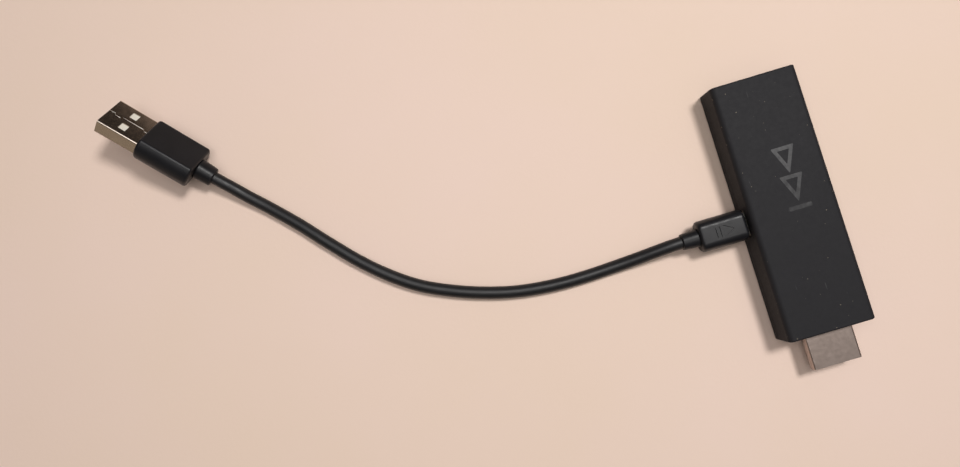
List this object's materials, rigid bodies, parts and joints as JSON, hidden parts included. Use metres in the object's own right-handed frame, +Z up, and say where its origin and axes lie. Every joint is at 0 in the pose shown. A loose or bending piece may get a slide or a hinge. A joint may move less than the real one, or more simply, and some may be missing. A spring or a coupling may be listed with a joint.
{
  "type": "streaming media player",
  "caption": "Flat streaming media stick with an HDMI plug on one end and a short micro-USB to USB-A power lead in its long side.",
  "frame": {"origin": "on the surface the stick lies on, under the middle of the stick's overall length and width; the lead is not counted", "axes": "+X across the stick, away from the side with the power socket; +Y along the stick, away from the HDMI plug; +Z up"},
  "size_m": [0.1957, 0.1312, 0.0194],
  "materials": {
    "casing_plastic": "fine matt texture, faintly worn",
    "circuit_board": "solder mask, semi-gloss",
    "chip_resin": "matt epoxy",
    "ceramic": "fired ceramic",
    "shield_steel": "tinned sheet, satin",
    "thermal_pad": "soft and matt",
    "spreader_aluminium": "rolled sheet",
    "gilt_brass": "gold flash, satin",
    "hdmi_nickel": "nickel plate, faintly mottled",
    "small_nickel": "nickel plate, satin",
    "usb_nickel": "nickel plate, worn",
    "black_resin": "moulded, satin",
    "white_resin": "moulded, satin",
    "wire_insulation": "smooth vinyl",
    "overmold_vinyl": "satin vinyl with a fine moulded grain",
    "cord_vinyl": "semi-gloss vinyl",
    "spring_steel": "bright spring steel"
  },
  "bodies": {
    "stick": {"top_cover": "casing_plastic", "bottom_cover": "casing_plastic", "main_board": "circuit_board", "processor": "chip_resin", "memory_chip": "chip_resin", "flash_chip": "chip_resin", "wifi_chip": "chip_resin", "power_chip": "chip_resin", "crystal": "shield_steel", "inductors": "chip_resin", "capacitors": "ceramic", "upper_shield_frame": "shield_steel", "upper_shield_lid": "shield_steel", "lower_shield_frame": "shield_steel", "lower_shield_lid": "shield_steel", "upper_thermal_pad": "thermal_pad", "chip_thermal_pad": "thermal_pad", "heat_spreader": "spreader_aluminium", "antennas": "gilt_brass", "hdmi_shell": "hdmi_nickel", "hdmi_insulator": "black_resin", "hdmi_contacts": "gilt_brass", "micro_socket_shell": "small_nickel", "micro_socket_tongue": "black_resin", "micro_socket_contacts": "gilt_brass"},
    "lead": {"micro_plug_shell": "small_nickel", "micro_plug_insulator": "black_resin", "micro_plug_contacts": "gilt_brass", "micro_inner_mould": "white_resin", "micro_wires": "wire_insulation", "micro_plug_overmold": "overmold_vinyl", "power_cord": "cord_vinyl", "usb_a_overmold": "overmold_vinyl", "usb_a_inner_mould": "white_resin", "usb_a_wires": "wire_insulation", "usb_a_shell": "usb_nickel", "usb_a_insulator": "white_resin", "usb_a_contacts": "gilt_brass"},
    "latch": {"latch_spring": "spring_steel"}
  },
  "joints": [
    {"name": "cable_unplug", "type": "slide", "parent": "stick", "child": "lead", "axis": [-1, 0, 0], "range_m": [0, 0.01]},
    {"name": "latch_flex", "type": "hinge", "parent": "lead", "child": "latch", "pos_m": [-0.0118, 0.0027, 0.00537], "axis": [0, 1, 0], "range_deg": [0, 3], "stiffness_Nm_per_rad": 0.02, "springref_deg": 3}
  ]
}
